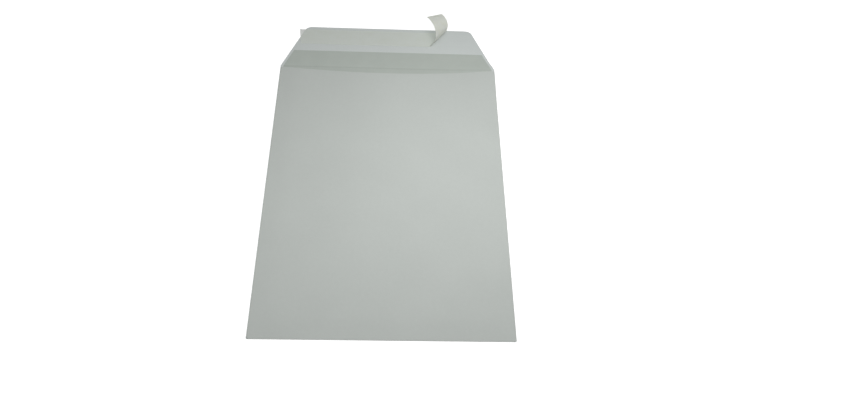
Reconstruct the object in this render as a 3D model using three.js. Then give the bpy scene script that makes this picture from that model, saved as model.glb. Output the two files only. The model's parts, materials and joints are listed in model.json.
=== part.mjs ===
// Peel and seal envelope, lying back up with its flap open flat and its release strip partly peeled.
// Units are millimetres. The origin is the centre of the address face, which lies on the table:
// +X runs across the envelope, +Y towards the flap, +Z up out of the back.
import * as THREE from "three";

// The pocket, a C4 size
const WIDTH = 229;
const LENGTH = 324;
const PAPER = 0.15;
const POCKET_GAP = 0.9;
const SEAM_FLAP_WIDTH = 22;
const SEAM_FLAP_CORNER_CUT = 9;
const SEAM_FLAP_BOTTOM_CLEARANCE = 0.8;
const SEAM_FLAP_THROAT_INSET = 1;
const GLUE_THICKNESS = 0.05;
const GLUE_WIDTH = 14;
const GLUE_EDGE_INSET = 3.5;
const GLUE_END_INSET = 12;
const BACK_PANEL_SIDE_INSET = 1.2;
const SIDE_FOLD_TOP_INSET = 2;

// The throat: the back panel's cut edge, and how far an empty pocket gapes there
const THROAT_CORNER_DEPTH = 2;
const THROAT_SIDE_DEPTH = 3.9;
const THROAT_CENTRE_DEPTH = 13.2;
const THROAT_CURVE_POWER = 2;
const GAPE_HEIGHT = 4.5;

// The flap
const FLAP_DEPTH = 61.3;
const FLAP_SIDE_SLANT = 24;
const FLAP_CORNER_RADIUS = 8;
const CLOSED_FLAP_CLEARANCE = 0.34;

// The grey print inside the paper
const LINING_THICKNESS = 0.03;
const LINING_EDGE_INSET = 3;
const LINING_BOTTOM_INSET = 4;
const LINING_FLAP_REACH = 24;

// The adhesive and the release strip over it
const STRIP_WIDTH = 22.5;
const STRIP_THICKNESS = 0.07;
const STRIP_TOP_MARGIN = 4.3;
const STRIP_OVERHANG = 6;
const STRIP_END_SLANT = 2.7;
const STRIP_RIGHT_INSET = 3.8;
const ADHESIVE_WIDTH = 18;
const ADHESIVE_THICKNESS = 0.04;
const ADHESIVE_END_INSET = 3;

// The peeled tail: a ribbon that bends most at its root and then evenly along its length, about lines
// that swing from the slanted line where it leaves the adhesive to square across its end
const TAIL_LENGTH = 44.25;
const TAIL_GAP = 0.3;
const PEEL_LINE_ANGLE = THREE.MathUtils.degToRad(54);
const TAIL_START_ANGLE = THREE.MathUtils.degToRad(10);
const TAIL_ROOT_TURN = THREE.MathUtils.degToRad(54.7);
const TAIL_ROOT_LENGTH = 4;
const TAIL_CURL = THREE.MathUtils.degToRad(130.2);

// Facets
const CORNER_SEGMENTS = 10;
const FOLD_SEGMENTS = 10;
const GAPE_COLUMNS = 22;
const GAPE_ROWS = 16;
const TAIL_STEPS = 26;
const TAIL_STEP_CROWDING = 1.7;

// Heights of the layers, from the table up
const seamFlapBottom = PAPER + POCKET_GAP;
const seamFlapTop = seamFlapBottom + PAPER;
const backPanelBottom = seamFlapTop + GLUE_THICKNESS;
const backPanelTop = backPanelBottom + PAPER;
const adhesiveTop = PAPER + ADHESIVE_THICKNESS;
const stripTop = adhesiveTop + STRIP_THICKNESS;

// Fold radii, outside the paper
const sideFoldRadius = seamFlapTop / 2;
const bottomFoldRadius = backPanelTop / 2;

// Where the pocket's faces start and end
const foldX = WIDTH / 2 - sideFoldRadius;
const foldLineY = LENGTH / 2;
const bottomFoldY = -LENGTH / 2 + bottomFoldRadius;
const backPanelHalfWidth = WIDTH / 2 - BACK_PANEL_SIDE_INSET;
const seamInnerX = foldX - SEAM_FLAP_WIDTH;
const sideFoldTopY = foldLineY - SIDE_FOLD_TOP_INSET;

// The flap turns about an axis high enough for it to close over the gaping back panel
const foldAxisHeight = (backPanelTop + GAPE_HEIGHT + stripTop + CLOSED_FLAP_CLEARANCE) / 2;
const creaseHalf = (Math.PI * (foldAxisHeight - PAPER / 2)) / 2;
const creaseStartY = foldLineY - creaseHalf;
const creaseEndY = foldLineY + creaseHalf;
const flapTopY = foldLineY + FLAP_DEPTH;

// Where the release strip and its adhesive lie
const stripTopY = flapTopY - STRIP_TOP_MARGIN;
const stripBottomY = stripTopY - STRIP_WIDTH;
const stripLeftX = -(flapHalfWidth(stripTopY) + STRIP_OVERHANG);
const peelX = flapHalfWidth(stripTopY) - STRIP_RIGHT_INSET - TAIL_LENGTH;
const adhesiveBottomY = (stripBottomY + stripTopY - ADHESIVE_WIDTH) / 2;

// Colours
const PAPER_COLOUR = 0xc3c8c3;
const LINING_COLOUR = 0xaab2a9;
const LINER_COLOUR = 0xc9cac1;
const ADHESIVE_COLOUR = 0xcdd1cc;
const GLUE_COLOUR = 0xd8d6c8;

function flapHalfWidth(y) {
  return WIDTH / 2 - (FLAP_SIDE_SLANT * (y - foldLineY)) / FLAP_DEPTH;
}

// The throat is curved between the seam flaps and rises straight from there to the fold's corners.
function throatY(x) {
  const across = Math.min(Math.abs(x), seamInnerX) / foldX;
  const share = Math.cos((Math.PI / 2) * across) ** THROAT_CURVE_POWER;
  const depth = THREE.MathUtils.lerp(THROAT_SIDE_DEPTH, THROAT_CENTRE_DEPTH, share);
  const beyond = (Math.abs(x) - seamInnerX) / (backPanelHalfWidth - seamInnerX);
  return foldLineY - THREE.MathUtils.lerp(depth, THROAT_CORNER_DEPTH, THREE.MathUtils.clamp(beyond, 0, 1));
}

// How far the back panel stands up at x, a share v of the way from the bottom fold to the throat.
function gape(x, v) {
  if (Math.abs(x) >= seamInnerX) return 0;
  const across = Math.cos((Math.PI / 2) * (x / seamInnerX)) ** 2;
  return GAPE_HEIGHT * across * Math.sin((Math.PI / 2) * v);
}

// Traces a closed outline of corners, each [x, y] or [x, y, radius].
function outlineShape(corners) {
  const shape = new THREE.Shape();
  corners.forEach(([x, y, radius = 0], i) => {
    const [beforeX, beforeY] = corners.at(i - 1);
    const [afterX, afterY] = corners[(i + 1) % corners.length];
    if (radius === 0) {
      if (i === 0) shape.moveTo(x, y);
      else shape.lineTo(x, y);
      return;
    }
    const here = new THREE.Vector2(x, y);
    const before = new THREE.Vector2(beforeX, beforeY).sub(here).normalize();
    const after = new THREE.Vector2(afterX, afterY).sub(here).normalize();
    const half = Math.acos(before.dot(after)) / 2;
    const inward = before.clone().add(after).normalize();
    const centre = here.clone().addScaledVector(inward, radius / Math.sin(half));
    const start = here.clone().addScaledVector(before, radius / Math.tan(half)).sub(centre);
    const end = here.clone().addScaledVector(after, radius / Math.tan(half)).sub(centre);
    const clockwise = start.cross(end) < 0;
    shape.absarc(centre.x, centre.y, radius, start.angle(), end.angle(), clockwise);
  });
  return shape;
}

// A flat sheet of the outline, from a height up.
function sheet(corners, bottom, thickness) {
  const options = { depth: thickness, bevelEnabled: false, curveSegments: CORNER_SEGMENTS };
  const geometry = new THREE.ExtrudeGeometry(outlineShape(corners), options);
  return geometry.translate(0, 0, bottom);
}

// A sheet folded back on itself: half a ring of paper round the origin, open towards -X, length along +Z.
function foldGeometry(outerRadius, length) {
  const shape = new THREE.Shape();
  shape.absarc(0, 0, outerRadius, -Math.PI / 2, Math.PI / 2, false);
  shape.absarc(0, 0, outerRadius - PAPER, Math.PI / 2, -Math.PI / 2, true);
  const options = { depth: length, bevelEnabled: false, curveSegments: FOLD_SEGMENTS };
  return new THREE.ExtrudeGeometry(shape, options);
}

// A closed sheet over a grid: faces(i, j) gives the low and the high point of grid place i, j.
function gridSolid(columns, rows, faces) {
  const positions = [];
  const index = [];
  const place = (i, j, side) => (i * (rows + 1) + j) * 2 + side;
  const quad = (a, b, c, d) => index.push(a, b, c, a, c, d);
  for (let i = 0; i <= columns; i++) {
    for (let j = 0; j <= rows; j++) {
      const [low, high] = faces(i, j);
      positions.push(...low, ...high);
    }
  }
  for (let i = 0; i < columns; i++) {
    for (let j = 0; j < rows; j++) {
      quad(place(i, j, 1), place(i + 1, j, 1), place(i + 1, j + 1, 1), place(i, j + 1, 1));
      quad(place(i, j, 0), place(i, j + 1, 0), place(i + 1, j + 1, 0), place(i + 1, j, 0));
    }
  }
  for (let i = 0; i < columns; i++) {
    quad(place(i, 0, 0), place(i + 1, 0, 0), place(i + 1, 0, 1), place(i, 0, 1));
    quad(place(i + 1, rows, 0), place(i, rows, 0), place(i, rows, 1), place(i + 1, rows, 1));
  }
  for (let j = 0; j < rows; j++) {
    quad(place(0, j + 1, 0), place(0, j, 0), place(0, j, 1), place(0, j + 1, 1));
    quad(place(columns, j, 0), place(columns, j + 1, 0), place(columns, j + 1, 1), place(columns, j, 1));
  }
  const geometry = new THREE.BufferGeometry();
  geometry.setAttribute("position", new THREE.Float32BufferAttribute(positions, 3));
  geometry.setIndex(index);
  geometry.computeVertexNormals();
  return geometry;
}

function addressPanelGeometry() {
  const corners = [
    [-foldX, bottomFoldY],
    [foldX, bottomFoldY],
    [foldX, creaseStartY],
    [-foldX, creaseStartY],
  ];
  return sheet(corners, 0, PAPER);
}

// Its outline follows the pocket's width up to the fold line and the flap's slant beyond.
function flapCreaseGeometry() {
  const endHalfWidth = flapHalfWidth(creaseEndY);
  const corners = [
    [-foldX, creaseStartY],
    [foldX, creaseStartY],
    [foldX, sideFoldTopY],
    [WIDTH / 2, sideFoldTopY],
    [WIDTH / 2, foldLineY],
    [endHalfWidth, creaseEndY],
    [-endHalfWidth, creaseEndY],
    [-WIDTH / 2, foldLineY],
    [-WIDTH / 2, sideFoldTopY],
    [-foldX, sideFoldTopY],
  ];
  return sheet(corners, 0, PAPER);
}

function closingFlapGeometry() {
  const startHalfWidth = flapHalfWidth(creaseEndY);
  const topHalfWidth = flapHalfWidth(flapTopY);
  const corners = [
    [-startHalfWidth, creaseEndY],
    [startHalfWidth, creaseEndY],
    [topHalfWidth, flapTopY, FLAP_CORNER_RADIUS],
    [-topHalfWidth, flapTopY, FLAP_CORNER_RADIUS],
  ];
  return sheet(corners, 0, PAPER);
}

// Turned so that its length runs along Y, up to the top end; side is 1 on the right and -1 on the left.
function sideFoldGeometry(side) {
  const length = sideFoldTopY - bottomFoldY;
  const geometry = foldGeometry(sideFoldRadius, length);
  const sideways = new THREE.Vector3(side, 0, 0);
  const up = new THREE.Vector3(0, 0, 1);
  const along = new THREE.Vector3(0, -side, 0);
  geometry.applyMatrix4(new THREE.Matrix4().makeBasis(sideways, up, along));
  return geometry.translate(side * foldX, side > 0 ? sideFoldTopY : bottomFoldY, sideFoldRadius);
}

function bottomFoldGeometry() {
  const geometry = foldGeometry(bottomFoldRadius, 2 * backPanelHalfWidth);
  const outwards = new THREE.Vector3(0, -1, 0);
  const up = new THREE.Vector3(0, 0, 1);
  const along = new THREE.Vector3(-1, 0, 0);
  geometry.applyMatrix4(new THREE.Matrix4().makeBasis(outwards, up, along));
  return geometry.translate(backPanelHalfWidth, bottomFoldY, bottomFoldRadius);
}

function seamFlapGeometry(side) {
  const bottomY = bottomFoldY + SEAM_FLAP_BOTTOM_CLEARANCE;
  const outerTopY = throatY(foldX) - SEAM_FLAP_THROAT_INSET;
  const innerTopY = throatY(seamInnerX) - SEAM_FLAP_THROAT_INSET;
  const corners = [
    [side * seamInnerX, bottomY + SEAM_FLAP_CORNER_CUT],
    [side * (seamInnerX + SEAM_FLAP_CORNER_CUT), bottomY],
    [side * foldX, bottomY],
    [side * foldX, outerTopY],
    [side * (seamInnerX + SEAM_FLAP_CORNER_CUT), innerTopY],
    [side * seamInnerX, innerTopY - SEAM_FLAP_CORNER_CUT],
  ];
  return sheet(side > 0 ? corners : corners.reverse(), seamFlapBottom, PAPER);
}

function seamGlueGeometry(side) {
  const outerX = foldX - GLUE_EDGE_INSET;
  const innerX = outerX - GLUE_WIDTH;
  const lowX = side > 0 ? innerX : -outerX;
  const bottomY = bottomFoldY + GLUE_END_INSET;
  const topY = throatY(innerX) - GLUE_END_INSET;
  const corners = [
    [lowX, bottomY],
    [lowX + GLUE_WIDTH, bottomY],
    [lowX + GLUE_WIDTH, topY],
    [lowX, topY],
  ];
  return sheet(corners, seamFlapTop, GLUE_THICKNESS);
}

// Flat over the glued seams, and standing up between them towards the throat.
function backPanelGeometry() {
  const across = [-backPanelHalfWidth];
  for (let i = 0; i <= GAPE_COLUMNS; i++) {
    across.push(seamInnerX * ((2 * i) / GAPE_COLUMNS - 1));
  }
  across.push(backPanelHalfWidth);
  return gridSolid(across.length - 1, GAPE_ROWS, (i, j) => {
    const x = across[i];
    const v = j / GAPE_ROWS;
    const y = bottomFoldY + v * (throatY(x) - bottomFoldY);
    const rise = gape(x, v);
    return [
      [x, y, backPanelBottom + rise],
      [x, y, backPanelTop + rise],
    ];
  });
}

function pocketLiningGeometry() {
  const halfWidth = foldX - LINING_EDGE_INSET;
  const bottomY = bottomFoldY + LINING_BOTTOM_INSET;
  const corners = [
    [-halfWidth, bottomY],
    [halfWidth, bottomY],
    [halfWidth, creaseStartY],
    [-halfWidth, creaseStartY],
  ];
  return sheet(corners, PAPER, LINING_THICKNESS);
}

function flapLiningGeometry() {
  const topY = foldLineY + LINING_FLAP_REACH;
  const startHalfWidth = flapHalfWidth(creaseEndY) - LINING_EDGE_INSET;
  const topHalfWidth = flapHalfWidth(topY) - LINING_EDGE_INSET;
  const corners = [
    [-startHalfWidth, creaseEndY],
    [startHalfWidth, creaseEndY],
    [topHalfWidth, topY],
    [-topHalfWidth, topY],
  ];
  return sheet(corners, PAPER, LINING_THICKNESS);
}

function adhesiveGeometry() {
  const topY = adhesiveBottomY + ADHESIVE_WIDTH;
  const halfLength = flapHalfWidth(topY) - ADHESIVE_END_INSET;
  const corners = [
    [-halfLength, adhesiveBottomY],
    [halfLength, adhesiveBottomY],
    [halfLength, topY],
    [-halfLength, topY],
  ];
  return sheet(corners, PAPER, ADHESIVE_THICKNESS);
}

function releaseStripGeometry() {
  const corners = [
    [stripLeftX + STRIP_END_SLANT, stripBottomY],
    [peelX, stripBottomY],
    [peelX + STRIP_WIDTH / Math.tan(PEEL_LINE_ANGLE), stripTopY],
    [stripLeftX, stripTopY],
  ];
  return sheet(corners, adhesiveTop, STRIP_THICKNESS);
}

// Facet edges lie closer together towards the root, where the ribbon turns most.
function tailShare(step) {
  return (step / TAIL_STEPS) ** TAIL_STEP_CROWDING;
}

// How steeply the ribbon stands at a share of its length.
function tailSlope(share) {
  const rootTurn = TAIL_ROOT_TURN * (1 - Math.exp((-share * TAIL_LENGTH) / TAIL_ROOT_LENGTH));
  return TAIL_START_ANGLE + rootTurn + TAIL_CURL * share;
}

// Turns everything beyond the line from low to high up by an angle.
function bendAbout(low, high, angle) {
  const axis = low.clone().sub(high).normalize();
  const back = new THREE.Matrix4().makeTranslation(-low.x, -low.y, -low.z);
  const turned = new THREE.Matrix4().makeRotationAxis(axis, angle);
  return new THREE.Matrix4().makeTranslation(low.x, low.y, low.z).multiply(turned).multiply(back);
}

// The ribbon's bend lines, each from its lower to its upper edge, with the side of the paper that faces up.
function tailLines() {
  const middleHeight = adhesiveTop + STRIP_THICKNESS / 2;
  const lowStart = peelX + TAIL_GAP;
  const highStart = lowStart + STRIP_WIDTH / Math.tan(PEEL_LINE_ANGLE);
  const end = peelX + TAIL_LENGTH;
  const bent = new THREE.Matrix4();
  const lines = [];
  let slope = 0;
  let normalBefore = null;
  for (let i = 0; i <= TAIL_STEPS; i++) {
    const share = tailShare(i);
    const low = new THREE.Vector3(THREE.MathUtils.lerp(lowStart, end, share), stripBottomY, middleHeight);
    const high = new THREE.Vector3(THREE.MathUtils.lerp(highStart, end, share), stripTopY, middleHeight);
    low.applyMatrix4(bent);
    high.applyMatrix4(bent);
    if (i < TAIL_STEPS) {
      const nextSlope = tailSlope((share + tailShare(i + 1)) / 2);
      bent.premultiply(bendAbout(low, high, nextSlope - slope));
      slope = nextSlope;
    }
    const normalAfter = new THREE.Vector3(0, 0, 1).transformDirection(bent);
    const normal = normalAfter.clone().add(normalBefore ?? normalAfter).normalize();
    normalBefore = normalAfter;
    lines.push({ low, high, normal });
  }
  return lines;
}

function tailGeometry() {
  const lines = tailLines();
  return gridSolid(TAIL_STEPS, 1, (i, j) => {
    const { low, high, normal } = lines[i];
    const middle = j === 0 ? low : high;
    const bottom = middle.clone().addScaledVector(normal, -STRIP_THICKNESS / 2);
    const top = middle.clone().addScaledVector(normal, STRIP_THICKNESS / 2);
    return [bottom.toArray(), top.toArray()];
  });
}

function material(colour, roughness) {
  return new THREE.MeshStandardMaterial({ color: colour, roughness, metalness: 0 });
}

const paper = () => material(PAPER_COLOUR, 0.85);
const lining = () => material(LINING_COLOUR, 0.85);
const liner = () => material(LINER_COLOUR, 0.6);
const adhesive = () => material(ADHESIVE_COLOUR, 0.25);
const glue = () => material(GLUE_COLOUR, 0.5);

const pieces = [
  ["address_panel", addressPanelGeometry(), paper()],
  ["bottom_fold", bottomFoldGeometry(), paper()],
  ["left_side_fold", sideFoldGeometry(-1), paper()],
  ["right_side_fold", sideFoldGeometry(1), paper()],
  ["left_seam_flap", seamFlapGeometry(-1), paper()],
  ["right_seam_flap", seamFlapGeometry(1), paper()],
  ["left_seam_glue", seamGlueGeometry(-1), glue()],
  ["right_seam_glue", seamGlueGeometry(1), glue()],
  ["back_panel", backPanelGeometry(), paper()],
  ["pocket_lining_print", pocketLiningGeometry(), lining()],
  ["flap_crease", flapCreaseGeometry(), lining()],
  ["closing_flap", closingFlapGeometry(), paper()],
  ["flap_lining_print", flapLiningGeometry(), lining()],
  ["flap_adhesive", adhesiveGeometry(), adhesive()],
  ["release_strip", releaseStripGeometry(), liner()],
  ["release_strip_tail", tailGeometry(), liner()],
];

const envelope = new THREE.Group();
envelope.name = "peel_and_seal_envelope";
for (const [name, geometry, finish] of pieces) {
  const mesh = new THREE.Mesh(geometry, finish);
  mesh.name = name;
  envelope.add(mesh);
}

export default envelope;
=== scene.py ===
import json
import math

import bmesh
import bpy
from mathutils import Euler, Matrix, Vector, noise


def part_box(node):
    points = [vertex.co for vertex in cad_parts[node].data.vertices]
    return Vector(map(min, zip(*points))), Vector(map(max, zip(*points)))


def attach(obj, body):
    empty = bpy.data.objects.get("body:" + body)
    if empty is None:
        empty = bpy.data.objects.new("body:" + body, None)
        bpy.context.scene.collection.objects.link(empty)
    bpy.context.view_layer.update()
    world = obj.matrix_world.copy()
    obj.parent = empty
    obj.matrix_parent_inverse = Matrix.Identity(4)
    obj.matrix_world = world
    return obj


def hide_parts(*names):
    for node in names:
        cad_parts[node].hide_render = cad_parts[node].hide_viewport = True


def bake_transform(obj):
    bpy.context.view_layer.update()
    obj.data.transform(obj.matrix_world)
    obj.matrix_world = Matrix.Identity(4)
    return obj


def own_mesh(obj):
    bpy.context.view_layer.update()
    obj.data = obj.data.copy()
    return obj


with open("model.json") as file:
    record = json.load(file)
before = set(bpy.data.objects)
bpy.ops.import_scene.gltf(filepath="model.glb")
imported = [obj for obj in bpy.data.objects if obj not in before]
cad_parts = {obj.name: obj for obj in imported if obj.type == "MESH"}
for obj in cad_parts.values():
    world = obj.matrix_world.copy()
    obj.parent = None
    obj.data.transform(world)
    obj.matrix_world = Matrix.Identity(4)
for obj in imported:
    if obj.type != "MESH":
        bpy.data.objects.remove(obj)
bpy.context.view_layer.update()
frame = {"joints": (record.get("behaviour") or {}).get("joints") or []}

MM = 0.001

# Sizes read from the frame
POCKET_HALF_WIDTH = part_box("right_side_fold")[1][0]
POCKET_BOTTOM_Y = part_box("bottom_fold")[0][1]
BACK_HALF_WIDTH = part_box("back_panel")[1][0]
BACK_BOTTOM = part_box("back_panel")[0][2]
SEAM_LOW, SEAM_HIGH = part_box("right_seam_flap")
SEAM_GLUE_LOW, SEAM_GLUE_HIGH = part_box("right_seam_glue")
SIDE_FOLD_TOP_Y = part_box("right_side_fold")[1][1]
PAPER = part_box("address_panel")[1][2]
GAPE_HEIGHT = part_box("back_panel")[1][2] - PAPER - BACK_BOTTOM
FLAP_TOP_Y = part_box("closing_flap")[1][1]
LINING_TOP_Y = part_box("flap_lining_print")[1][1]
LINING_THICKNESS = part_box("flap_lining_print")[1][2] - PAPER
LINING_BOTTOM_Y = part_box("pocket_lining_print")[0][1]
ADHESIVE_LOW, ADHESIVE_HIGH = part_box("flap_adhesive")
STRIP_LOW, STRIP_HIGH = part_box("release_strip")
STRIP_WIDTH = STRIP_HIGH[1] - STRIP_LOW[1]
STRIP_THICKNESS = STRIP_HIGH[2] - STRIP_LOW[2]
JOINTS = {joint["name"]: joint for joint in frame["joints"]}
FOLD_Y = JOINTS["flap_fold"]["pos_m"][1]
PEEL_X = JOINTS["tail_lift"]["pos_m"][0]

# Sizes that a box can't give, as in the solids
THROAT_FOLD_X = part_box("address_panel")[1][0]
THROAT_CORNER_DEPTH = 2 * MM
THROAT_SIDE_DEPTH = 3.9 * MM
THROAT_CENTRE_DEPTH = 13.2 * MM
THROAT_CURVE_POWER = 2
FLAP_SIDE_SLANT = 24 * MM
FLAP_CORNER_RADIUS = 8 * MM
SEAM_CORNER_CUT = 9 * MM
LINING_INSET = 3 * MM
STRIP_END_SLANT = 2.7 * MM
PEEL_LINE_ANGLE = math.radians(54)

# How flat the folded edges are pressed, and the heights of the paper's middle above the table
SIDE_FOLD_RADIUS = 0.1 * MM
BOTTOM_FOLD_RADIUS = 0.1875 * MM
FRONT_HEIGHT = PAPER / 2
SEAM_PRESSED = FRONT_HEIGHT + 2 * SIDE_FOLD_RADIUS
SEAM_LOOSE = SEAM_LOW[2] + PAPER / 2
BACK_PRESSED = FRONT_HEIGHT + 2 * BOTTOM_FOLD_RADIUS
BACK_LOOSE = BACK_BOTTOM + PAPER / 2
PRESSED_REACH = 22 * MM

# Where the flat faces end and the folds start
FOLD_X = POCKET_HALF_WIDTH - PAPER / 2 - SIDE_FOLD_RADIUS
BOTTOM_FOLD_Y = POCKET_BOTTOM_Y + PAPER / 2 + BOTTOM_FOLD_RADIUS
SEAM_WIDTH = FOLD_X - SEAM_LOW[0]

# How the flap's paper bends across the fold line
CREASE_HALF = 1.5 * MM

# How the peeled tail curls, a little closer to the photograph than its solid
TAIL_LENGTH = 42.88 * MM
TAIL_END_SLANT = 1.74 * MM
TAIL_GAP = 0.12 * MM
TAIL_START_ANGLE = math.radians(30)
TAIL_ROOT_TURN = math.radians(76.3)
TAIL_ROOT_LENGTH = 20 * MM
TAIL_CURL = math.radians(88.6)
TAIL_CURL_EARLY = 0.5

# The print inside the back panel, which no solid has
BACK_LINING_INSET = 1 * MM

# The small unevenness of real paper
CREASE_RISE = 0.16 * MM
CREASE_REACH = 7 * MM
CREASE_FADE = CREASE_REACH / 3
FLAP_LIFT = 0.2 * MM
FLAP_LIFT_START = 0.35
FLAP_LIFT_SPAN = 0.6
FLAP_LIFT_POWER = 1.5
BACK_WAVE = 0.3 * MM
BACK_WAVE_SEED = 3.1
WAVE_SIZE = 90 * MM
OVERHANG_CURL = 0.15 * MM
CORNER_LIFT = 1.4 * MM
CORNER_LIFT_START_X = 40 * MM
CORNER_LIFT_POCKET_REACH = 55 * MM
CORNER_LIFT_FLAP_REACH = 16 * MM
ADHESIVE_EDGE_WAVE = 0.35 * MM
ADHESIVE_WAVE_SIZE = 6 * MM

# Meshes
PANEL_COLUMNS = 84
FLAP_CORNER_ROWS = 12
ROW_STEP = 4 * MM
CREASE_ROW_STEP = 0.15 * MM
NEAR_CREASE_STEP = 0.8 * MM
FOLD_STEPS = 10
SEAM_COLUMNS = 12
BACK_ROWS = 90
GLUE_COLUMNS = 6
GLUE_ROWS = 60
GLUE_THICKNESS = 0.02 * MM
STRIP_COLUMNS = 80
STRIP_ROWS = 10
TAIL_STEPS = 96
TAIL_STEP_CROWDING = 1.7
TAIL_STRANDS = 12
MERGE_DISTANCE = 0.002 * MM
ROUNDING = 1e-6
SHARP_ANGLE = math.radians(50)

# The photograph's camera
CAMERA_PLACE = (0.002852, -0.489417, 0.640515)
CAMERA_ANGLES = (math.radians(36.29), math.radians(-2.774), math.radians(-0.70))
CAMERA_LENS = 35.376
CAMERA_SENSOR = 36
CAMERA_CLIP_START = 0.01


def flap_half_width(y):
    share = (y - FOLD_Y) / (FLAP_TOP_Y - FOLD_Y)
    return POCKET_HALF_WIDTH - FLAP_SIDE_SLANT * share


def sheet_half_width(y):
    """Half the open sheet's width at y, with the flap's slanted sides and round corners."""
    if y <= SIDE_FOLD_TOP_Y:
        return FOLD_X
    if y <= FOLD_Y:
        return POCKET_HALF_WIDTH
    slant = math.atan2(FLAP_SIDE_SLANT, FLAP_TOP_Y - FOLD_Y)
    corner_angle = (math.pi / 2 + slant) / 2
    centre_x = flap_half_width(FLAP_TOP_Y) - FLAP_CORNER_RADIUS / math.tan(corner_angle)
    above = y - (FLAP_TOP_Y - FLAP_CORNER_RADIUS)
    if above <= FLAP_CORNER_RADIUS * math.sin(slant):
        return flap_half_width(y)
    return centre_x + math.sqrt(max(0.0, FLAP_CORNER_RADIUS**2 - above**2))


def mix(first, second, share):
    return first + (second - first) * share


def smooth(value):
    t = min(1.0, max(0.0, value))
    return t * t * (3 - 2 * t)


def throat_y(x):
    """The back panel's cut edge, curved between the seam flaps and rising straight to the corners."""
    across = min(abs(x), SEAM_LOW[0]) / THROAT_FOLD_X
    share = math.cos(math.pi / 2 * across) ** THROAT_CURVE_POWER
    depth = mix(THROAT_SIDE_DEPTH, THROAT_CENTRE_DEPTH, share)
    beyond = max(0.0, (abs(x) - SEAM_LOW[0]) / (BACK_HALF_WIDTH - SEAM_LOW[0]))
    return FOLD_Y - mix(depth, THROAT_CORNER_DEPTH, min(1.0, beyond))


def ripple(x, y, seed):
    """A slow unevenness between -1 and 1."""
    return noise.noise(Vector((x / WAVE_SIZE, y / WAVE_SIZE, seed)))


def front_rise(x, y):
    """How far the inside of the front panel and of the flap stands off its lowest place: a shallow
    valley along the fold line, and a flap that lifts a little towards its left corner."""
    away = abs(y - FOLD_Y)
    rise = CREASE_RISE * (1 - math.exp(-away / CREASE_FADE))
    if y < FOLD_Y:
        inwards = smooth((POCKET_HALF_WIDTH - abs(x)) / PRESSED_REACH)
        return rise * inwards * smooth((2 * CREASE_REACH - away) / CREASE_REACH)
    up = away / (FLAP_TOP_Y - FOLD_Y)
    left = smooth((-x / POCKET_HALF_WIDTH - FLAP_LIFT_START) / FLAP_LIFT_SPAN)
    return rise + FLAP_LIFT * left * up**FLAP_LIFT_POWER


def corner_lift(x, y):
    """How far all the layers curl up off the table towards the pocket's top right corner."""
    across = smooth((x - CORNER_LIFT_START_X) / (POCKET_HALF_WIDTH - CORNER_LIFT_START_X))
    reach = CORNER_LIFT_POCKET_REACH if y < FOLD_Y else CORNER_LIFT_FLAP_REACH
    return CORNER_LIFT * across**2 * (1 - smooth(abs(y - FOLD_Y) / reach))


def loose(x, y):
    """How far the pocket's layers have come apart, from 0 on its creased edges to 1 away from them."""
    from_side = (POCKET_HALF_WIDTH - abs(x)) / PRESSED_REACH
    from_bottom = (y - POCKET_BOTTOM_Y) / PRESSED_REACH
    return smooth(from_side) * smooth(from_bottom)


def gape(x, v):
    """How far the back panel stands up at x, a share v of the way from the bottom fold to the throat."""
    if abs(x) >= SEAM_LOW[0]:
        return 0.0
    stand = math.cos(math.pi / 2 * x / SEAM_LOW[0]) ** 2 * math.sin(math.pi / 2 * v)
    sag = BACK_WAVE * (1 + ripple(x, v * FOLD_Y * 2, BACK_WAVE_SEED)) / 2
    return (GAPE_HEIGHT - sag) * stand


def spaced(start, end, step):
    count = max(1, math.ceil((end - start) / step - ROUNDING))
    return [start + (end - start) * k / count for k in range(count)]


def sheet_rows():
    """The places along Y where the open sheet has a row of points, closest at the fold line."""
    corner_start = FLAP_TOP_Y - FLAP_CORNER_RADIUS
    rows = spaced(BOTTOM_FOLD_Y, FOLD_Y - 2 * CREASE_REACH, ROW_STEP)
    rows += spaced(FOLD_Y - 2 * CREASE_REACH, SIDE_FOLD_TOP_Y, NEAR_CREASE_STEP)
    rows += spaced(SIDE_FOLD_TOP_Y, FOLD_Y + CREASE_HALF, CREASE_ROW_STEP)
    rows += spaced(FOLD_Y + CREASE_HALF, FOLD_Y + 2 * CREASE_REACH, NEAR_CREASE_STEP)
    rows += spaced(FOLD_Y + 2 * CREASE_REACH, corner_start, ROW_STEP)
    for k in range(FLAP_CORNER_ROWS + 1):
        rows.append(corner_start + FLAP_CORNER_RADIUS * math.sin(math.pi / 2 * k / FLAP_CORNER_ROWS))
    return rows


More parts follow.
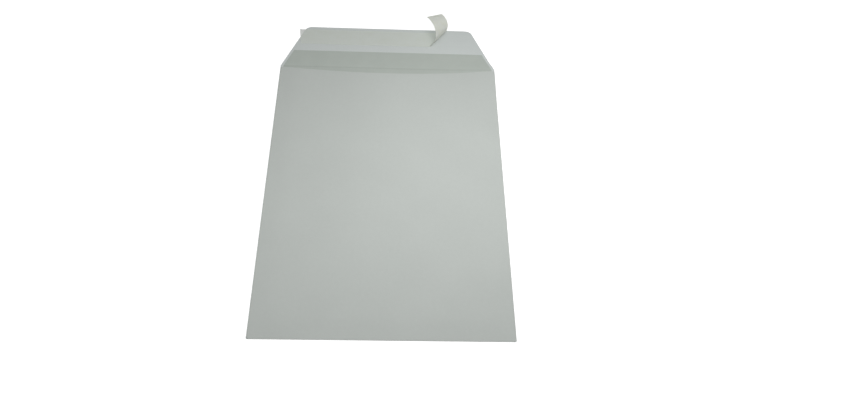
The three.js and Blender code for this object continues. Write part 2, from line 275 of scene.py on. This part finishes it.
class Sheet:
    """Grids of points joined into one mesh, with the flat sheet's own places kept as UV. Each grid runs
    the way that leaves the sheet's first side, the inside of the paper or the top of the strip, in front."""

    def __init__(self):
        self.mesh = bmesh.new()
        self.uv = self.mesh.loops.layers.uv.new("flat")

    def grid(self, columns, rows, point, flat, flip=False):
        made = [[self.mesh.verts.new(point(i, j)) for j in range(rows + 1)] for i in range(columns + 1)]
        for i in range(columns):
            for j in range(rows):
                corners = [(i, j), (i + 1, j), (i + 1, j + 1), (i, j + 1)]
                if flip:
                    corners.reverse()
                face = self.mesh.faces.new([made[a][b] for a, b in corners])
                for loop, (a, b) in zip(face.loops, corners):
                    loop[self.uv].uv = flat(a, b)

    def finish(self, name, thickness, first_side, second_side=None):
        """Joins the grids, gives them their thickness, half to each side, and returns the object. The cut
        edges go with the second side."""
        bmesh.ops.remove_doubles(self.mesh, verts=self.mesh.verts, dist=MERGE_DISTANCE)
        for vertex in self.mesh.verts:
            vertex.co.z += corner_lift(vertex.co.x, vertex.co.y)
        data = bpy.data.meshes.new(name)
        self.mesh.to_mesh(data)
        self.mesh.free()
        piece = bpy.data.objects.new(name, data)
        bpy.context.scene.collection.objects.link(piece)
        data.materials.append(first_side)
        if second_side:
            data.materials.append(second_side)
        solid = piece.modifiers.new("thickness", "SOLIDIFY")
        solid.thickness = thickness
        solid.offset = 0
        solid.use_even_offset = True
        solid.material_offset = solid.material_offset_rim = 1 if second_side else 0
        bpy.context.view_layer.update()
        evaluated = piece.evaluated_get(bpy.context.evaluated_depsgraph_get())
        thick = bpy.data.meshes.new_from_object(evaluated)
        piece.modifiers.clear()
        piece.data = thick
        thick.name = name
        for polygon in thick.polygons:
            polygon.use_smooth = True
        thick.set_sharp_from_angle(angle=SHARP_ANGLE)
        return piece


def add_front(sheet, rows):
    """The front panel and the flap in one piece."""

    def point(i, j):
        y = rows[j]
        x = (2 * i / PANEL_COLUMNS - 1) * sheet_half_width(y)
        return x, y, FRONT_HEIGHT + front_rise(x, y)

    sheet.grid(PANEL_COLUMNS, len(rows) - 1, point, lambda i, j: point(i, j)[:2])


def add_side(sheet, rows, side):
    """The folded edge and its seam flap, on the right where side is 1 and on the left where it is -1."""
    shared = [y for y in rows if y <= SIDE_FOLD_TOP_Y + MERGE_DISTANCE]
    first, last = shared[0], shared[-1]

    def travel(i):
        """How much of the fold a column has turned through, and how far it lies beyond the fold."""
        return min(1.0, i / FOLD_STEPS), max(0, i - FOLD_STEPS) / SEAM_COLUMNS * SEAM_WIDTH

    def point(i, j):
        turn, beyond = travel(i)
        cut = smooth((beyond - (SEAM_WIDTH - SEAM_CORNER_CUT)) / SEAM_CORNER_CUT) * SEAM_CORNER_CUT
        low = mix(first, SEAM_LOW[1], turn) + cut
        high = mix(last, SEAM_HIGH[1], turn) - cut
        y = mix(low, high, (shared[j] - first) / (last - first))
        x = FOLD_X + SIDE_FOLD_RADIUS * math.sin(math.pi * turn) - beyond
        if turn < 1:
            z = FRONT_HEIGHT + SIDE_FOLD_RADIUS * (1 - math.cos(math.pi * turn))
        else:
            z = mix(SEAM_PRESSED, SEAM_LOOSE, loose(x, y))
        return side * x, y, z + front_rise(FOLD_X, shared[j]) * (1 - turn)

    def flat(i, j):
        turn, beyond = travel(i)
        return side * (FOLD_X + SIDE_FOLD_RADIUS * math.pi * turn + beyond), point(i, j)[1]

    sheet.grid(FOLD_STEPS + SEAM_COLUMNS, len(shared) - 1, point, flat, flip=side < 0)


def add_bottom_fold(sheet):
    def point(i, j):
        turn = j / FOLD_STEPS
        half = mix(FOLD_X, BACK_HALF_WIDTH, turn)
        y = BOTTOM_FOLD_Y - BOTTOM_FOLD_RADIUS * math.sin(math.pi * turn)
        z = FRONT_HEIGHT + BOTTOM_FOLD_RADIUS * (1 - math.cos(math.pi * turn))
        return (2 * i / PANEL_COLUMNS - 1) * half, y, z

    def flat(i, j):
        return point(i, j)[0], BOTTOM_FOLD_Y - BOTTOM_FOLD_RADIUS * math.pi * j / FOLD_STEPS

    sheet.grid(PANEL_COLUMNS, FOLD_STEPS, point, flat, flip=True)


def back_point(x, v):
    """The middle of the back panel's paper, a share v of the way from the bottom fold to the throat."""
    y = mix(BOTTOM_FOLD_Y, throat_y(x), v)
    return x, y, mix(BACK_PRESSED, BACK_LOOSE, loose(x, y)) + gape(x, v)


def add_back(sheet):
    def point(i, j):
        return back_point((2 * i / PANEL_COLUMNS - 1) * BACK_HALF_WIDTH, j / BACK_ROWS)

    def flat(i, j):
        x, y, _ = point(i, j)
        return x, 2 * BOTTOM_FOLD_Y - y

    sheet.grid(PANEL_COLUMNS, BACK_ROWS, point, flat, flip=True)


def make_envelope_sheet(inside, outside):
    rows = sheet_rows()
    sheet = Sheet()
    add_front(sheet, rows)
    add_side(sheet, rows, 1)
    add_side(sheet, rows, -1)
    add_bottom_fold(sheet)
    add_back(sheet)
    return sheet.finish("envelope_sheet", PAPER, inside, outside)


def make_front_lining(ink):
    inner_rows = [y for y in sheet_rows() if LINING_BOTTOM_Y < y < LINING_TOP_Y]
    rows = [LINING_BOTTOM_Y, *inner_rows, LINING_TOP_Y]

    def point(i, j):
        x = (2 * i / PANEL_COLUMNS - 1) * (sheet_half_width(rows[j]) - LINING_INSET)
        return x, rows[j], PAPER + LINING_THICKNESS / 2 + front_rise(x, rows[j])

    sheet = Sheet()
    sheet.grid(PANEL_COLUMNS, len(rows) - 1, point, lambda i, j: point(i, j)[:2])
    return sheet.finish("front_lining_print", LINING_THICKNESS, ink)


def make_back_lining(ink):
    """The print inside the back panel, between the seam flaps."""
    lowest = (LINING_BOTTOM_Y - BOTTOM_FOLD_Y) / (FOLD_Y - BOTTOM_FOLD_Y)

    def point(i, j):
        x = (2 * i / PANEL_COLUMNS - 1) * (SEAM_LOW[0] - BACK_LINING_INSET)
        _, y, z = back_point(x, mix(lowest, 1, j / BACK_ROWS))
        return x, y - LINING_THICKNESS, z - PAPER / 2 - LINING_THICKNESS / 2

    sheet = Sheet()
    sheet.grid(PANEL_COLUMNS, BACK_ROWS, point, lambda i, j: point(i, j)[:2])
    return sheet.finish("back_lining_print", LINING_THICKNESS, ink)


def make_seam_glue(name, side, glue):
    """The glue between a seam flap and the back panel, with edges as uneven as it was laid on."""
    middle_x = (SEAM_GLUE_LOW[0] + SEAM_GLUE_HIGH[0]) / 2
    half_width = (SEAM_GLUE_HIGH[0] - SEAM_GLUE_LOW[0]) / 2

    def point(i, j):
        y = mix(SEAM_GLUE_LOW[1], SEAM_GLUE_HIGH[1], j / GLUE_ROWS)
        across = 2 * i / GLUE_COLUMNS - 1
        wobble = ADHESIVE_EDGE_WAVE * noise.noise(Vector((y / ADHESIVE_WAVE_SIZE, across, side)))
        x = middle_x + across * (half_width - ADHESIVE_EDGE_WAVE + wobble)
        seam_top = mix(SEAM_PRESSED, SEAM_LOOSE, loose(x, y)) + PAPER / 2
        back_bottom = mix(BACK_PRESSED, BACK_LOOSE, loose(x, y)) - PAPER / 2
        return side * x, y, (seam_top + back_bottom) / 2

    sheet = Sheet()
    sheet.grid(GLUE_COLUMNS, GLUE_ROWS, point, lambda i, j: point(i, j)[:2], flip=side < 0)
    return sheet.finish(name, GLUE_THICKNESS, glue)


def make_adhesive(adhesive):
    middle_y = (ADHESIVE_LOW[1] + ADHESIVE_HIGH[1]) / 2
    half_width = (ADHESIVE_HIGH[1] - ADHESIVE_LOW[1]) / 2
    thickness = ADHESIVE_HIGH[2] - ADHESIVE_LOW[2]

    def point(i, j):
        x = mix(ADHESIVE_LOW[0], ADHESIVE_HIGH[0], i / STRIP_COLUMNS)
        across = 2 * j / STRIP_ROWS - 1
        wobble = ADHESIVE_EDGE_WAVE * noise.noise(Vector((x / ADHESIVE_WAVE_SIZE, across, 0)))
        y = middle_y + across * (half_width - ADHESIVE_EDGE_WAVE + wobble)
        return x, y, PAPER + thickness / 2 + front_rise(x, y)

    sheet = Sheet()
    sheet.grid(STRIP_COLUMNS, STRIP_ROWS, point, lambda i, j: point(i, j)[:2])
    return sheet.finish("flap_adhesive_film", thickness, adhesive)


def strip_height(x, y):
    """The middle of the laid strip's paper."""
    return STRIP_LOW[2] + STRIP_THICKNESS / 2 + front_rise(x, y)


def make_release_strip(top_side, release_side):
    """The strip that still lies on the adhesive, from its cut end past the flap's edge to the peel line."""

    def point(i, j):
        share = j / STRIP_ROWS
        y = mix(STRIP_LOW[1], STRIP_HIGH[1], share)
        left = STRIP_LOW[0] + STRIP_END_SLANT * (1 - share)
        right = PEEL_X + share * STRIP_WIDTH / math.tan(PEEL_LINE_ANGLE)
        x = mix(left, right, i / STRIP_COLUMNS)
        free = max(0.0, -x - flap_half_width(y)) / (-STRIP_LOW[0] - flap_half_width(STRIP_HIGH[1]))
        return x, y, strip_height(x, y) + OVERHANG_CURL * free**2

    sheet = Sheet()
    sheet.grid(STRIP_COLUMNS, STRIP_ROWS, point, lambda i, j: point(i, j)[:2])
    return sheet.finish("release_strip_liner", STRIP_THICKNESS, top_side, release_side)


def tail_share(step):
    """Bend lines lie closer together towards the root, where the tail turns most."""
    return (step / TAIL_STEPS) ** TAIL_STEP_CROWDING


def tail_slope(share):
    """How steeply the tail stands at a share of its length."""
    root_turn = TAIL_ROOT_TURN * (1 - math.exp(-share * TAIL_LENGTH / TAIL_ROOT_LENGTH))
    return TAIL_START_ANGLE + root_turn + TAIL_CURL * (share + TAIL_CURL_EARLY * share * (1 - share))


def tail_lines():
    """The ends of the tail's bend lines: where they lie on the flat strip, and where the bends take them.
    The lines swing from the slanted peel line to the tail's end, which is cut almost square."""
    peel_run = STRIP_WIDTH / math.tan(PEEL_LINE_ANGLE)
    height = strip_height(PEEL_X, STRIP_LOW[1])
    bent = Matrix.Identity(4)
    slope = 0.0
    lines = []
    for step in range(TAIL_STEPS + 1):
        share = tail_share(step)
        low_run = mix(TAIL_GAP, TAIL_LENGTH, share)
        high_run = mix(peel_run + TAIL_GAP, TAIL_LENGTH + TAIL_END_SLANT, share)
        ends = ((low_run, 0.0), (high_run, STRIP_WIDTH))
        low, high = (bent @ Vector((PEEL_X + x, STRIP_LOW[1] + y, height)) for x, y in ends)
        lines.append((ends, (low, high)))
        if step < TAIL_STEPS:
            next_slope = tail_slope((share + tail_share(step + 1)) / 2)
            turned = Matrix.Rotation(next_slope - slope, 4, low - high)
            bent = Matrix.Translation(low) @ turned @ Matrix.Translation(-low) @ bent
            slope = next_slope
    return lines


def make_tail(top_side, release_side):
    lines = tail_lines()

    def point(i, j):
        low, high = lines[i][1]
        return low.lerp(high, j / TAIL_STRANDS)

    def flat(i, j):
        low, high = lines[i][0]
        return Vector(low).lerp(Vector(high), j / TAIL_STRANDS)

    sheet = Sheet()
    sheet.grid(TAIL_STEPS, TAIL_STRANDS, point, flat)
    return sheet.finish("release_strip_curl", STRIP_THICKNESS, top_side, release_side)


class Nodes:
    """A material's node tree, with short calls to add and join nodes."""

    def __init__(self, name):
        self.material = bpy.data.materials.new(name)
        self.material.use_nodes = True
        self.tree = self.material.node_tree
        self.tree.nodes.clear()
        self.output = self.tree.nodes.new("ShaderNodeOutputMaterial")

    def add(self, kind, inputs=None, **settings):
        node = self.tree.nodes.new(kind)
        for key, value in settings.items():
            setattr(node, key, value)
        for key, value in (inputs or {}).items():
            if isinstance(value, bpy.types.NodeSocket):
                self.tree.links.new(value, node.inputs[key])
            else:
                node.inputs[key].default_value = value
        return node

    def place(self, scale=(1, 1, 1), flat=True):
        """The flat sheet's own coordinates, or else the object's, stretched by scale."""
        source = self.add("ShaderNodeTexCoord").outputs["UV" if flat else "Object"]
        return self.add("ShaderNodeMapping", {"Vector": source, "Scale": scale}).outputs["Vector"]

    def noise(self, vector, scale, detail, roughness, distortion=0.0):
        inputs = {
            "Vector": vector,
            "Scale": scale,
            "Detail": detail,
            "Roughness": roughness,
            "Distortion": distortion,
        }
        return self.add("ShaderNodeTexNoise", inputs).outputs["Fac"]

    def ramp(self, value, stops):
        node = self.add("ShaderNodeValToRGB", {"Fac": value})
        elements = node.color_ramp.elements
        elements[0].position, elements[0].color = stops[0]
        elements[1].position, elements[1].color = stops[-1]
        for position, colour in stops[1:-1]:
            elements.new(position).color = colour
        return node.outputs["Color"]

    def tones(self, value, span, colour, factors):
        """The colour times the first factor where the value is below the span, going over to the colour
        times the second factor above it."""
        return self.ramp(value, [(end, shaded(colour, factor)) for end, factor in zip(span, factors)])

    def blend(self, share, first, second, mode="MIX"):
        inputs = {0: share, 6: first, 7: second}
        return self.add("ShaderNodeMix", inputs, data_type="RGBA", blend_type=mode).outputs[2]

    def maths(self, operation, first, second=0.0):
        return self.add("ShaderNodeMath", {0: first, 1: second}, operation=operation).outputs[0]

    def mean(self, first, second):
        return self.maths("MULTIPLY", self.maths("ADD", first, second), 0.5)

    def relief(self, strength, depth, height):
        inputs = {"Strength": strength, "Distance": depth, "Height": height}
        return self.add("ShaderNodeBump", inputs).outputs[0]

    def mix_shaders(self, share, first, second):
        inputs = {0: share, 1: first.outputs[0], 2: second.outputs[0]}
        return self.add("ShaderNodeMixShader", inputs)

    def surface(self, see_through=0.0, **inputs):
        """The finish. A see_through share of the light passes through, as it does through thin paper, which
        makes the shadow weaker by a little more than that share."""
        inputs = {key.replace("_", " "): value for key, value in inputs.items()}
        shader = self.add("ShaderNodeBsdfPrincipled", inputs)
        if see_through:
            behind = self.add("ShaderNodeBsdfTranslucent", {"Color": inputs["Base Color"]})
            shader = self.mix_shaders(see_through, shader, behind)
            in_shadow = self.add("ShaderNodeLightPath").outputs["Is Shadow Ray"]
            clear_share = self.maths("MULTIPLY", in_shadow, SHADOW_LIGHTENING * see_through)
            shader = self.mix_shaders(clear_share, shader, self.add("ShaderNodeBsdfTransparent"))
        self.tree.links.new(shader.outputs[0], self.output.inputs["Surface"])
        return self.material


def linear(red, green, blue):
    """A colour written as it looks, 0 to 255, as the shader wants it."""

    def one(value):
        share = value / 255
        return share / 12.92 if share <= 0.04045 else ((share + 0.055) / 1.055) ** 2.4

    return one(red), one(green), one(blue), 1.0


def shaded(colour, factor):
    return tuple(channel * factor for channel in colour[:3]) + (1.0,)


def grey(value):
    return value, value, value, 1.0


# Colours as they look
OUTSIDE_COLOUR = linear(191, 196, 192)
# The inside of the paper is lighter than its outside, though both are one paper: painted light, making up for
# the dimmer light on the flat flap
INSIDE_COLOUR = linear(203.5, 209, 207)
PRINT_COLOUR = linear(179.5, 186.5, 180)
LINER_COLOUR = linear(215.3, 220.8, 215.3)
LINER_TINT = linear(212.3, 217.8, 210.3)
# The liner where it lies free, lighter than the laid liner: painted light, for the light that passes through
# the thin paper
LIT_THROUGH_LINER_COLOUR = linear(234, 236.5, 234)
RELEASE_COLOUR = linear(234, 235, 232.5)
RELEASE_TINT = linear(232.5, 233, 223.5)
# The clear adhesive takes the inside's lighter colour, with the same painted light
ADHESIVE_COLOUR = linear(203.5, 209, 207)
GLUE_COLOUR = linear(216, 214, 200)
WHITE = grey(1.0)

# The stretch of a noise over which a colour or a roughness goes from its first tone to its second
MOTTLE_SPAN = (0.36, 0.64)
FILM_SPAN = (0.35, 0.65)
FIBRE_SPAN = (0.38, 0.6)
GLOSS_SPAN = (0.3, 0.7)

# Uncoated paper: a noise is its scale, detail, roughness and any distortion, a relief its strength and depth
PAPER_FORMATION = (260.0, 5.0, 0.6)
PAPER_CLOUDS = (22.0, 3.0, 0.5)
PAPER_TOOTH = (5200.0, 2.0, 0.6)
FIBRES_ACROSS = (2600.0, 3.0, 0.6, 0.6)
FIBRES_ALONG = (2300.0, 3.0, 0.6, 0.6)
FIBRE_STRETCH = 0.18
FIBRE_TONES = (0.975, 1.0)
PAPER_TONES = (0.982, 1.018)
PAPER_ROUGHNESS = (0.78, 0.88)
PAPER_RELIEF = (0.12, 0.06 * MM)


def paper_material(name, colour):
    """Uncoated paper: a cloudy formation, short fibres lying both ways and a fine tooth."""
    n = Nodes(name)
    place = n.place()
    formation = n.noise(place, *PAPER_FORMATION)
    clouds = n.noise(place, *PAPER_CLOUDS)
    fibres_across = n.noise(n.place((1, FIBRE_STRETCH, 1)), *FIBRES_ACROSS)
    fibres_along = n.noise(n.place((FIBRE_STRETCH, 1, 1)), *FIBRES_ALONG)
    fibres = n.mean(fibres_across, fibres_along)
    base = n.tones(n.mean(formation, clouds), MOTTLE_SPAN, colour, PAPER_TONES)
    fibre_tint = n.tones(fibres, FIBRE_SPAN, WHITE, FIBRE_TONES)
    return n.surface(
        Base_Color=n.blend(1.0, base, fibre_tint, "MULTIPLY"),
        Roughness=n.tones(formation, GLOSS_SPAN, WHITE, PAPER_ROUGHNESS),
        Specular_IOR_Level=0.25,
        Sheen_Weight=0.04,
        Sheen_Roughness=0.5,
        Normal=n.relief(*PAPER_RELIEF, n.mean(fibres, n.noise(place, *PAPER_TOOTH))),
    )


# The painted shade along the pressed fold line
PAINTED_CREASE_OFFSET = 0.3 * MM
PAINTED_CREASE_HALF_WIDTH = 1.3 * MM
PAINTED_CREASE_SHADE = 0.92


def painted_crease_shade(n):
    """Painted shade along the pressed fold line, for the shade in its shallow valley: 1 away from it and a
    little less along it.
    """
    y = n.add("ShaderNodeSeparateXYZ", {0: n.place()}).outputs["Y"]
    away = n.maths("ABSOLUTE", n.maths("SUBTRACT", y, FOLD_Y - PAINTED_CREASE_OFFSET))
    reach = {"Value": away, "From Min": 0.0, "From Max": PAINTED_CREASE_HALF_WIDTH, "To Min": PAINTED_CREASE_SHADE, "To Max": 1.0}
    return n.add("ShaderNodeMapRange", reach, interpolation_type="SMOOTHSTEP").outputs["Result"]


# The print
PRINT_MOTTLE = (900.0, 4.0, 0.65)
PRINT_CLOUDS = (60.0, 3.0, 0.5)
PRINT_TOOTH = (4200.0, 3.0, 0.6)
PRINT_TONES = (0.97, 1.03)
PRINT_ROUGHNESS = (0.74, 0.84)
PRINT_RELIEF = (0.1, 0.05 * MM)


def print_material(name, colour):
    """Flat grey ink with the paper's cloudiness showing through, a faint mottle where it soaked in, and
    a darker line of painted shade along the pressed fold."""
    n = Nodes(name)
    place = n.place()
    mottle = n.noise(place, *PRINT_MOTTLE)
    clouds = n.noise(place, *PRINT_CLOUDS)
    base = n.tones(n.mean(mottle, clouds), MOTTLE_SPAN, colour, PRINT_TONES)
    return n.surface(
        # The ink is darkened along the fold line: painted shade.
        Base_Color=n.blend(1.0, base, painted_crease_shade(n), "MULTIPLY"),
        Roughness=n.tones(mottle, GLOSS_SPAN, WHITE, PRINT_ROUGHNESS),
        Specular_IOR_Level=0.3,
        Normal=n.relief(*PRINT_RELIEF, n.noise(place, *PRINT_TOOTH)),
    )


# The release liner
LINER_MOTTLE = (520.0, 4.0, 0.6, 0.3)
LINER_CLOUDS = (95.0, 3.0, 0.5)
LINER_TOOTH = (3000.0, 3.0, 0.6)
FREE_LINER_TONES = (0.985, 1.0)
LINER_RELIEF = (0.08, 0.05 * MM)
LAID_SEE_THROUGH = 0.12
FREE_SEE_THROUGH = 0.45
SHADOW_LIGHTENING = 1.35
FREE_END_FADE = 0.3 * MM

# The liner's two sides: how much the mottle is drawn out across the strip, and the ends of the roughness
TOP_SIDE = (0.3, (0.56, 0.68))
RELEASE_SIDE = (0.8, (0.44, 0.56))


def beyond_flap(n):
    """0 where the laid strip has the flap behind it, and 1 on its free end past the flap's left edge, which
    is painted lighter.
    """
    slant = FLAP_SIDE_SLANT / (FLAP_TOP_Y - FOLD_Y)
    edge = POCKET_HALF_WIDTH + slant * FOLD_Y
    vectors = {0: n.place(), 1: (-1.0, slant, 0.0)}
    across = n.add("ShaderNodeVectorMath", vectors, operation="DOT_PRODUCT").outputs["Value"]
    reach = {"Value": across, "From Min": edge - FREE_END_FADE, "From Max": edge + FREE_END_FADE}
    return n.add("ShaderNodeMapRange", reach).outputs["Result"]


def liner_material(name, colour, tint, side, see_through, lit_through_colour=None):
    """Thin release paper that lets light through, with a mottle between its two colours. The free end past
    the flap's edge is given a lighter colour: painted light, for the light that passes through it from the
    floor."""
    stretch, roughness = side
    n = Nodes(name)
    mottle = n.noise(n.place((1, stretch, 1)), *LINER_MOTTLE)
    clouds = n.noise(n.place(), *LINER_CLOUDS)
    base = n.ramp(n.mean(mottle, clouds), list(zip(MOTTLE_SPAN, (tint, colour))))
    if lit_through_colour:
        # Painted light: the free end is lighter, for the light from the floor that passes through it.
        base = n.blend(beyond_flap(n), base, n.tones(mottle, MOTTLE_SPAN, lit_through_colour, FREE_LINER_TONES))
    return n.surface(
        see_through=see_through,
        Base_Color=base,
        Roughness=n.tones(mottle, GLOSS_SPAN, WHITE, roughness),
        Specular_IOR_Level=0.35,
        Normal=n.relief(*LINER_RELIEF, n.noise(n.place(), *LINER_TOOTH)),
    )


# The flap's adhesive
ADHESIVE_STREAKS = (700.0, 3.0, 0.6)
ADHESIVE_STREAK_STRETCH = 0.06
ADHESIVE_PITS = (1500.0, 2.0, 0.7)
ADHESIVE_TONES = (0.985, 1.015)
ADHESIVE_ROUGHNESS = (0.4, 0.55)
ADHESIVE_RELIEF = (0.2, 0.06 * MM)


def adhesive_material(name, colour):
    """Clear tacky adhesive over white paper, with streaks from the coating head and small pits."""
    n = Nodes(name)
    streaks = n.noise(n.place((ADHESIVE_STREAK_STRETCH, 1, 1)), *ADHESIVE_STREAKS)
    pits = n.noise(n.place(), *ADHESIVE_PITS)
    return n.surface(
        Base_Color=n.tones(n.mean(streaks, pits), FILM_SPAN, colour, ADHESIVE_TONES),
        Roughness=n.tones(pits, GLOSS_SPAN, WHITE, ADHESIVE_ROUGHNESS),
        Specular_IOR_Level=0.4,
        Normal=n.relief(*ADHESIVE_RELIEF, streaks),
    )


# The seam glue
GLUE_BEADS = (900.0, 3.0, 0.6)
GLUE_TONES = (0.94, 1.04)
GLUE_RELIEF = (0.3, 0.1 * MM)


def glue_material(name, colour):
    """A dried film of dispersion glue."""
    n = Nodes(name)
    beads = n.noise(n.place(), *GLUE_BEADS)
    base = n.tones(beads, FILM_SPAN, colour, GLUE_TONES)
    return n.surface(Base_Color=base, Roughness=0.42, Normal=n.relief(*GLUE_RELIEF, beads))


def make_paper_pieces():
    """The folded sheet and the print on its inside."""

    inside = paper_material("paper_inside", INSIDE_COLOUR)
    outside = paper_material("paper_outside", OUTSIDE_COLOUR)
    sheet = make_envelope_sheet(inside, outside)
    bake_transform(sheet)
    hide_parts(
        "address_panel",
        "bottom_fold",
        "left_side_fold",
        "right_side_fold",
        "left_seam_flap",
        "right_seam_flap",
        "back_panel",
        "flap_crease",
        "closing_flap",
    )

    ink = print_material("grey_inside_print", PRINT_COLOUR)
    front_lining = make_front_lining(ink)
    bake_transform(front_lining)
    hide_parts("pocket_lining_print", "flap_lining_print")

    back_lining = make_back_lining(ink)
    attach(back_lining, "pocket")


def make_glued_pieces():
    """The seam glue and the flap's adhesive."""
    glue = glue_material("dried_seam_glue", GLUE_COLOUR)
    for side, hand in ((-1, "left"), (1, "right")):
        line = make_seam_glue(f"{hand}_seam_glue_line", side, glue)
        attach(line, "pocket")
        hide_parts(f"{hand}_seam_glue")

    adhesive = make_adhesive(adhesive_material("clear_tacky_adhesive", ADHESIVE_COLOUR))
    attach(adhesive, "flap")
    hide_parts("flap_adhesive")


def make_laid_strip():
    """The part of the release strip that still lies on the adhesive."""
    see_through = LAID_SEE_THROUGH
    top = liner_material("laid_liner_top", LINER_COLOUR, LINER_TINT, TOP_SIDE, see_through, LIT_THROUGH_LINER_COLOUR)
    release = liner_material("laid_liner_release", RELEASE_COLOUR, RELEASE_TINT, RELEASE_SIDE, see_through)
    strip = make_release_strip(top, release)
    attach(strip, "strip")
    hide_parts("release_strip")


def make_peeled_tail():
    """The part of the release strip that has been peeled off."""
    see_through = FREE_SEE_THROUGH
    # The top side takes the lighter free colour: painted light, for the light that passes through the thin
    # paper.
    top = liner_material("free_liner_top", LIT_THROUGH_LINER_COLOUR, LINER_COLOUR, TOP_SIDE, see_through)
    release = liner_material("free_liner_release", RELEASE_COLOUR, RELEASE_TINT, RELEASE_SIDE, see_through)
    tail = make_tail(top, release)
    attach(tail, "strip_tail")
    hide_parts("release_strip_tail")
    strip_top = strip_height(PEEL_X, STRIP_LOW[1]) + STRIP_THICKNESS / 2
    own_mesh(tail)


# The floor
FLOOR_DROP = 0.15 * MM
FLOOR_SIZE = 8.0
FLOOR_COLOUR = grey(0.86)
FLOOR_GRAIN = (30.0, 2.0, 0.55)
FLOOR_SPAN = (0.4, 0.6)
FLOOR_TONES = (0.99, 1.0)

# How strongly the floor glows for the camera, by the distance from the object's middle
GLOW_STOPS = ((0.12, 0.45), (0.3, 0.65), (0.55, 0.9), (0.9, 1.0))


def make_floor():
    """A pale floor that the camera sees as white, apart from the object's shadow on it. Away from the
    object, where less of the lamps' light falls, it glows more for the camera."""
    n = Nodes("pale_floor")
    grain = n.noise(n.place(flat=False), *FLOOR_GRAIN)
    base = n.tones(grain, FLOOR_SPAN, FLOOR_COLOUR, FLOOR_TONES)
    centre = n.add("ShaderNodeTexCoord").outputs["Object"]
    away = n.add("ShaderNodeVectorMath", {0: centre}, operation="LENGTH").outputs["Value"]
    strength = n.ramp(away, [(reach, grey(glow)) for reach, glow in GLOW_STOPS])
    path = n.add("ShaderNodeLightPath").outputs
    seen = n.maths("MAXIMUM", path["Is Camera Ray"], path["Is Glossy Ray"])
    glow = n.maths("MULTIPLY", n.maths("MAXIMUM", seen, path["Is Transmission Ray"]), strength)
    shader = n.add("ShaderNodeBsdfDiffuse", {"Color": base})
    shine = n.add("ShaderNodeEmission", {"Color": WHITE, "Strength": glow})
    both = n.add("ShaderNodeAddShader", {0: shader.outputs[0], 1: shine.outputs[0]})
    n.tree.links.new(both.outputs[0], n.output.inputs["Surface"])

    data = bpy.data.meshes.new("floor")
    half = FLOOR_SIZE / 2
    corners = [(x * half, y * half, -FLOOR_DROP) for x, y in ((-1, -1), (1, -1), (1, 1), (-1, 1))]
    data.from_pydata(corners, [], [(0, 1, 2, 3)])
    data.materials.append(n.material)
    floor = bpy.data.objects.new("floor", data)
    bpy.context.scene.collection.objects.link(floor)


# The lamps and the world
LEFT_PLACE, LEFT_SIZE, LEFT_POWER = (-0.122, -0.074, 0.4), 0.3, 0.47
RIGHT_PLACE, RIGHT_SIZE, RIGHT_POWER = (0.16, 0.054, 0.35), 0.25, 0.83
WORLD_STRENGTH = 0.3


def make_lamp(name, place, size, power):
    """A round soft lamp that faces the middle of the object."""
    data = bpy.data.lights.new(name, "AREA")
    data.shape = "DISK"
    data.size = size
    data.energy = power
    lamp = bpy.data.objects.new(name, data)
    lamp.location = place
    lamp.rotation_euler = (-Vector(place)).to_track_quat("-Z", "Y").to_euler()
    lamp.visible_camera = False
    bpy.context.scene.collection.objects.link(lamp)


def make_world():
    """A soft even light from all round, which the camera sees as white."""
    world = bpy.data.worlds.new("studio")
    world.use_nodes = True
    tree = world.node_tree
    tree.nodes.clear()
    path = tree.nodes.new("ShaderNodeLightPath")
    soft = tree.nodes.new("ShaderNodeBackground")
    soft.inputs["Strength"].default_value = WORLD_STRENGTH
    white = tree.nodes.new("ShaderNodeBackground")
    pick = tree.nodes.new("ShaderNodeMixShader")
    output = tree.nodes.new("ShaderNodeOutputWorld")
    for background in (soft, white):
        background.inputs["Color"].default_value = WHITE
    tree.links.new(path.outputs["Is Camera Ray"], pick.inputs[0])
    tree.links.new(soft.outputs[0], pick.inputs[1])
    tree.links.new(white.outputs[0], pick.inputs[2])
    tree.links.new(pick.outputs[0], output.inputs["Surface"])
    bpy.context.scene.world = world


def make_camera():
    data = bpy.data.cameras.new("camera")
    data.sensor_width = CAMERA_SENSOR
    data.sensor_fit = "HORIZONTAL"
    data.lens = CAMERA_LENS
    data.clip_start = CAMERA_CLIP_START
    camera = bpy.data.objects.new("camera", data)
    camera.location = CAMERA_PLACE
    camera.rotation_euler = Euler(CAMERA_ANGLES, "XYZ")
    bpy.context.scene.collection.objects.link(camera)
    bpy.context.scene.camera = camera


make_camera()
make_paper_pieces()
make_glued_pieces()
make_laid_strip()
make_peeled_tail()
make_floor()
make_lamp("left_lamp", LEFT_PLACE, LEFT_SIZE, LEFT_POWER)
make_lamp("right_lamp", RIGHT_PLACE, RIGHT_SIZE, RIGHT_POWER)
make_world()

bpy.context.scene.view_settings.view_transform = "Standard"
